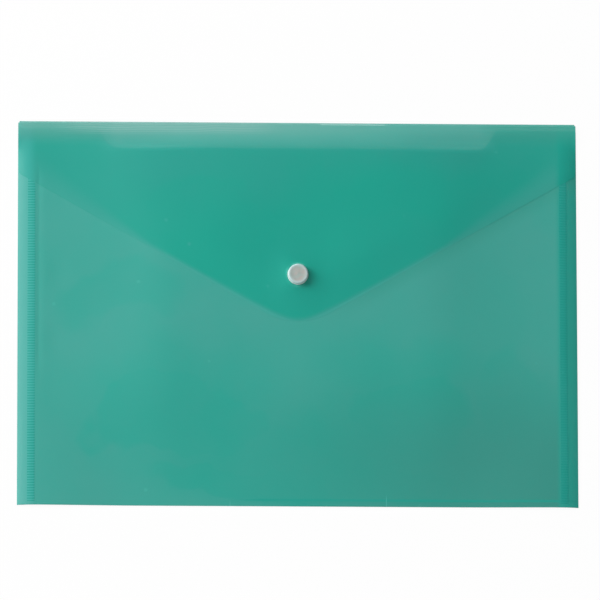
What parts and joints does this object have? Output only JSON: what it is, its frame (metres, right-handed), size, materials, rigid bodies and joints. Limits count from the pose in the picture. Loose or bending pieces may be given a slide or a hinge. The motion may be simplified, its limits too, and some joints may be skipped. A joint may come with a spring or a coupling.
{
  "type": "document wallet",
  "caption": "Flat translucent plastic document wallet: an open-topped pocket with ribbed side welds and a pointed fold-over flap that a press stud holds shut.",
  "frame": {"origin": "centre of the wallet's outline, on the plane that its back rests on", "axes": "+X along the top fold to the right, +Y from the bottom fold to the top fold, +Z out of the front, towards the button"},
  "size_m": [0.335, 0.235, 0.0105],
  "materials": {
    "film": "satin",
    "button": "satin"
  },
  "bodies": {
    "pocket": {"back_panel": "film", "bottom_crease": "film", "front_panel": "film", "front_left_slope": "film", "front_right_slope": "film", "front_bottom_slope": "film", "left_seam": "film", "right_seam": "film", "pocket_stud": "button", "stud_rivet": "button"},
    "shoulder": {"flap_shoulder": "film"},
    "flap": {"flap_panel": "film", "button_cap": "button", "button_socket": "button"}
  },
  "joints": [
    {"name": "top_crease", "type": "hinge", "parent": "pocket", "child": "shoulder", "pos_m": [0, 0.1174, 0.0001], "axis": [-1, 0, 0], "range_deg": [0, 130.5]},
    {"name": "flap_bend", "type": "hinge", "parent": "shoulder", "child": "flap", "pos_m": [0, 0.1114, 0.007], "axis": [-1, 0, 0], "range_deg": [0, 46.5]}
  ],
  "couplings": [
    {"joint": "flap_bend", "follows": "top_crease", "ratio": 0.3563}
  ]
}
